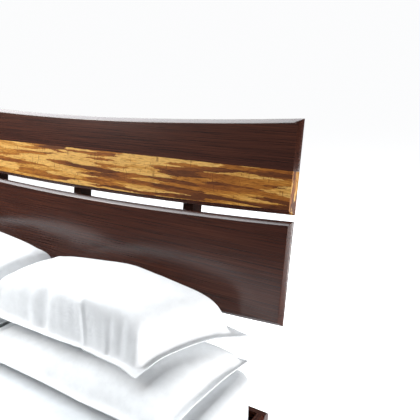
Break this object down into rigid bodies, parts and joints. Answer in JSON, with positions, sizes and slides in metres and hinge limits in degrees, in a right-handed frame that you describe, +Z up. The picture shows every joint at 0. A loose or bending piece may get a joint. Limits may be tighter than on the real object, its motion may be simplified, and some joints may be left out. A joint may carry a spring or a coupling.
{
  "type": "sleigh bed",
  "caption": "Platform sleigh bed with a leaning split headboard on bent posts, inlaid bands, a low leaning footboard, slats, a mattress and pillows.",
  "frame": {"origin": "on the floor, at the middle of the bed's overall box", "axes": "+X across the bed to the right of someone facing the headboard, +Y from the footboard to the headboard, +Z up"},
  "size_m": [1.65, 2.3335, 1.1548],
  "materials": {
    "dark_bamboo": "satin",
    "strand_bamboo": "satin",
    "plain_bamboo": "matte",
    "black_steel": "satin",
    "brass_inserts": "satin",
    "zinc_steel": "satin",
    "glide_plastic": "matte",
    "mattress_cloth": "matte",
    "pillow_cotton": "matte"
  },
  "bodies": {
    "bed_frame": {"beam_hangers": "black_steel", "board_bolts": "zinc_steel", "board_inserts": "brass_inserts", "bracket_screws": "zinc_steel", "centre_beam": "plain_bamboo", "centre_leg_dowels": "zinc_steel", "centre_leg_foot": "plain_bamboo", "centre_leg_head": "plain_bamboo", "corner_brackets": "black_steel", "corner_leg_foot_left": "dark_bamboo", "corner_leg_foot_right": "dark_bamboo", "corner_leg_head_left": "dark_bamboo", "corner_leg_head_right": "dark_bamboo", "foot_rail": "dark_bamboo", "footboard_board": "dark_bamboo", "footboard_post_left": "dark_bamboo", "footboard_post_right": "dark_bamboo", "footboard_tiger_end_left": "strand_bamboo", "footboard_tiger_end_right": "strand_bamboo", "footboard_tiger_inlay": "strand_bamboo", "head_rail": "dark_bamboo", "headboard_lower_board": "dark_bamboo", "headboard_post_centre": "dark_bamboo", "headboard_post_left": "dark_bamboo", "headboard_post_right": "dark_bamboo", "headboard_tiger_end_left": "strand_bamboo", "headboard_tiger_end_right": "strand_bamboo", "headboard_tiger_inlay": "strand_bamboo", "headboard_upper_board": "dark_bamboo", "ledger_screws": "zinc_steel", "leg_bolts": "zinc_steel", "leg_glides": "glide_plastic", "leveller_nuts": "zinc_steel", "mattress": "mattress_cloth", "pillow_left": "pillow_cotton", "pillow_right": "pillow_cotton", "post_bolts": "zinc_steel", "rail_inserts": "brass_inserts", "side_rail_left": "dark_bamboo", "side_rail_right": "dark_bamboo", "slat_01": "plain_bamboo", "slat_02": "plain_bamboo", "slat_03": "plain_bamboo", "slat_04": "plain_bamboo", "slat_05": "plain_bamboo", "slat_06": "plain_bamboo", "slat_07": "plain_bamboo", "slat_08": "plain_bamboo", "slat_09": "plain_bamboo", "slat_10": "plain_bamboo", "slat_11": "plain_bamboo", "slat_12": "plain_bamboo", "slat_ledger_left": "plain_bamboo", "slat_ledger_right": "plain_bamboo", "slat_screws": "zinc_steel", "under_pillow_left": "pillow_cotton", "under_pillow_right": "pillow_cotton"},
    "leveller_head_body": {"leveller_head": "zinc_steel"},
    "leveller_foot_body": {"leveller_foot": "zinc_steel"}
  },
  "joints": [
    {"name": "leveller_head_screw", "type": "slide", "parent": "bed_frame", "child": "leveller_head_body", "axis": [0, 0, 1], "range_m": [0, 0.012]},
    {"name": "leveller_foot_screw", "type": "slide", "parent": "bed_frame", "child": "leveller_foot_body", "axis": [0, 0, 1], "range_m": [0, 0.012]}
  ]
}
